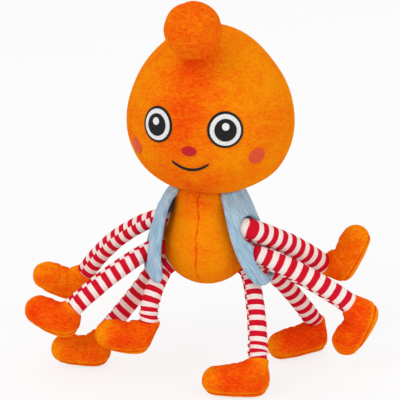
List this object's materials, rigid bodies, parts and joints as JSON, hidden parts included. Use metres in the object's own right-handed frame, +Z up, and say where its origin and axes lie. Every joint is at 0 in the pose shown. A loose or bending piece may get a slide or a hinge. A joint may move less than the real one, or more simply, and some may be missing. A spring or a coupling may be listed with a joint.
{
  "type": "plush spider toy",
  "caption": "Stuffed plush spider with a round head, a topknot bobble, a pear-shaped body in an open vest and jointed soft striped legs that end in padded feet.",
  "frame": {"origin": "on the floor, under the middle of the toy standing with its legs spread", "axes": "+Z up, -Y the way the face looks, +X to the toy's left"},
  "size_m": [0.255, 0.1254, 0.2801],
  "materials": {
    "orange_plush": "matte",
    "foot_plush": "matte",
    "vest_plush": "matte",
    "striped_jersey": "matte",
    "fibre_fill": "matte",
    "white_thread": "satin",
    "black_thread": "satin",
    "red_thread": "satin",
    "cheek_thread": "satin"
  },
  "bodies": {
    "root": {"body_skin": "orange_plush", "body_filling": "fibre_fill", "vest_left_front": "vest_plush", "vest_back": "vest_plush", "vest_right_front": "vest_plush"},
    "head": {"head_skin": "orange_plush", "head_filling": "fibre_fill", "left_eye_white": "white_thread", "left_eye_pupil": "black_thread", "left_eye_glint": "white_thread", "left_cheek": "cheek_thread", "right_eye_white": "white_thread", "right_eye_pupil": "black_thread", "right_eye_glint": "white_thread", "right_cheek": "cheek_thread", "nose": "red_thread", "smile": "black_thread"},
    "bobble": {"bobble_skin": "orange_plush", "bobble_filling": "fibre_fill"},
    "left_leg_1": {"left_leg_1_tube": "striped_jersey", "left_leg_1_filling": "fibre_fill"},
    "left_leg_1_foot": {"left_leg_1_foot_upper": "foot_plush", "left_leg_1_foot_sole": "foot_plush", "left_leg_1_foot_filling": "fibre_fill"},
    "left_leg_2": {"left_leg_2_tube": "striped_jersey", "left_leg_2_filling": "fibre_fill"},
    "left_leg_2_foot": {"left_leg_2_foot_upper": "foot_plush", "left_leg_2_foot_sole": "foot_plush", "left_leg_2_foot_filling": "fibre_fill"},
    "left_leg_3": {"left_leg_3_tube": "striped_jersey", "left_leg_3_filling": "fibre_fill"},
    "left_leg_3_foot": {"left_leg_3_foot_upper": "foot_plush", "left_leg_3_foot_sole": "foot_plush", "left_leg_3_foot_filling": "fibre_fill"},
    "left_leg_4": {"left_leg_4_tube": "striped_jersey", "left_leg_4_filling": "fibre_fill"},
    "left_leg_4_foot": {"left_leg_4_foot_upper": "foot_plush", "left_leg_4_foot_sole": "foot_plush", "left_leg_4_foot_filling": "fibre_fill"},
    "right_leg_1": {"right_leg_1_tube": "striped_jersey", "right_leg_1_filling": "fibre_fill"},
    "right_leg_1_foot": {"right_leg_1_foot_upper": "foot_plush", "right_leg_1_foot_sole": "foot_plush", "right_leg_1_foot_filling": "fibre_fill"},
    "right_leg_2": {"right_leg_2_tube": "striped_jersey", "right_leg_2_filling": "fibre_fill"},
    "right_leg_2_foot": {"right_leg_2_foot_upper": "foot_plush", "right_leg_2_foot_sole": "foot_plush", "right_leg_2_foot_filling": "fibre_fill"},
    "right_leg_3": {"right_leg_3_tube": "striped_jersey", "right_leg_3_filling": "fibre_fill"},
    "right_leg_3_foot": {"right_leg_3_foot_upper": "foot_plush", "right_leg_3_foot_sole": "foot_plush", "right_leg_3_foot_filling": "fibre_fill"},
    "right_leg_4": {"right_leg_4_tube": "striped_jersey", "right_leg_4_filling": "fibre_fill"},
    "right_leg_4_foot": {"right_leg_4_foot_upper": "foot_plush", "right_leg_4_foot_sole": "foot_plush", "right_leg_4_foot_filling": "fibre_fill"}
  },
  "joints": [
    {"name": "neck_nod", "type": "hinge", "parent": "root", "child": "head", "pos_m": [0.00421, 0.00343, 0.13131], "axis": [1, 0, 0], "range_deg": [-8, 8]},
    {"name": "bobble_wobble", "type": "hinge", "parent": "head", "child": "bobble", "pos_m": [0.00671, -0.0284, 0.24574], "axis": [1, 0, 0], "range_deg": [-18, 18]},
    {"name": "left_leg_1_hip", "type": "hinge", "parent": "root", "child": "left_leg_1", "pos_m": [0.03575, -0.00805, 0.11414], "axis": [0.7634, -0.6459, 0], "range_deg": [-8, 12]},
    {"name": "left_leg_1_ankle", "type": "hinge", "parent": "left_leg_1", "child": "left_leg_1_foot", "pos_m": [0.07981, 0.04403, 0.07231], "axis": [0.2756, -0.9613, 0], "range_deg": [-18, 18]},
    {"name": "left_leg_2_hip", "type": "hinge", "parent": "root", "child": "left_leg_2", "pos_m": [0.04028, -0.00424, 0.09409], "axis": [0.2899, -0.957, 0], "range_deg": [-8, 12]},
    {"name": "left_leg_2_ankle", "type": "hinge", "parent": "left_leg_2", "child": "left_leg_2_foot", "pos_m": [0.10521, 0.01543, 0.05631], "axis": [-0.2756, 0.9613, 0], "range_deg": [-18, 18]},
    {"name": "left_leg_3_hip", "type": "hinge", "parent": "root", "child": "left_leg_3", "pos_m": [0.03516, 0.01786, 0.08187], "axis": [0.567, -0.8237, 0], "range_deg": [-12, 12]},
    {"name": "left_leg_3_ankle", "type": "hinge", "parent": "left_leg_3", "child": "left_leg_3_foot", "pos_m": [0.0752, 0.04543, 0.02531], "axis": [-0.7431, 0.6691, 0], "range_deg": [-18, 18]},
    {"name": "left_leg_4_hip", "type": "hinge", "parent": "root", "child": "left_leg_4", "pos_m": [0.03525, 0.00451, 0.07576], "axis": [-0.921, -0.3895, 0], "range_deg": [-12, 12]},
    {"name": "left_leg_4_ankle", "type": "hinge", "parent": "left_leg_4", "child": "left_leg_4_foot", "pos_m": [0.05221, -0.03557, 0.02531], "axis": [-0.2756, 0.9613, 0], "range_deg": [-18, 18]},
    {"name": "right_leg_1_hip", "type": "hinge", "parent": "root", "child": "right_leg_1", "pos_m": [-0.02896, -0.00064, 0.11417], "axis": [0.0521, 0.9986, 0], "range_deg": [-8, 12]},
    {"name": "right_leg_1_ankle", "type": "hinge", "parent": "right_leg_1", "child": "right_leg_1_foot", "pos_m": [-0.08779, 0.00243, 0.06431], "axis": [-0.2756, 0.9613, 0], "range_deg": [-18, 18]},
    {"name": "right_leg_2_hip", "type": "hinge", "parent": "root", "child": "right_leg_2", "pos_m": [-0.03047, -0.00988, 0.09408], "axis": [-0.625, 0.7806, 0], "range_deg": [-8, 12]},
    {"name": "right_leg_2_ankle", "type": "hinge", "parent": "right_leg_2", "child": "right_leg_2_foot", "pos_m": [-0.0788, -0.04857, 0.05831], "axis": [0.1392, 0.9903, 0], "range_deg": [-18, 18]},
    {"name": "right_leg_3_hip", "type": "hinge", "parent": "root", "child": "right_leg_3", "pos_m": [-0.02964, 0.01062, 0.08309], "axis": [-0.6329, 0.7742, 0], "range_deg": [-12, 8]},
    {"name": "right_leg_3_ankle", "type": "hinge", "parent": "right_leg_3", "child": "right_leg_3_foot", "pos_m": [-0.06779, -0.02057, 0.02531], "axis": [-0.2756, 0.9613, 0], "range_deg": [-18, 18]},
    {"name": "right_leg_4_hip", "type": "hinge", "parent": "root", "child": "right_leg_4", "pos_m": [-0.02376, -0.01082, 0.07702], "axis": [-0.9742, 0.2255, 0], "range_deg": [-6, 12]},
    {"name": "right_leg_4_ankle", "type": "hinge", "parent": "right_leg_4", "child": "right_leg_4_foot", "pos_m": [-0.0288, -0.03257, 0.04731], "axis": [-0.6428, 0.766, 0], "range_deg": [-18, 18]}
  ]
}
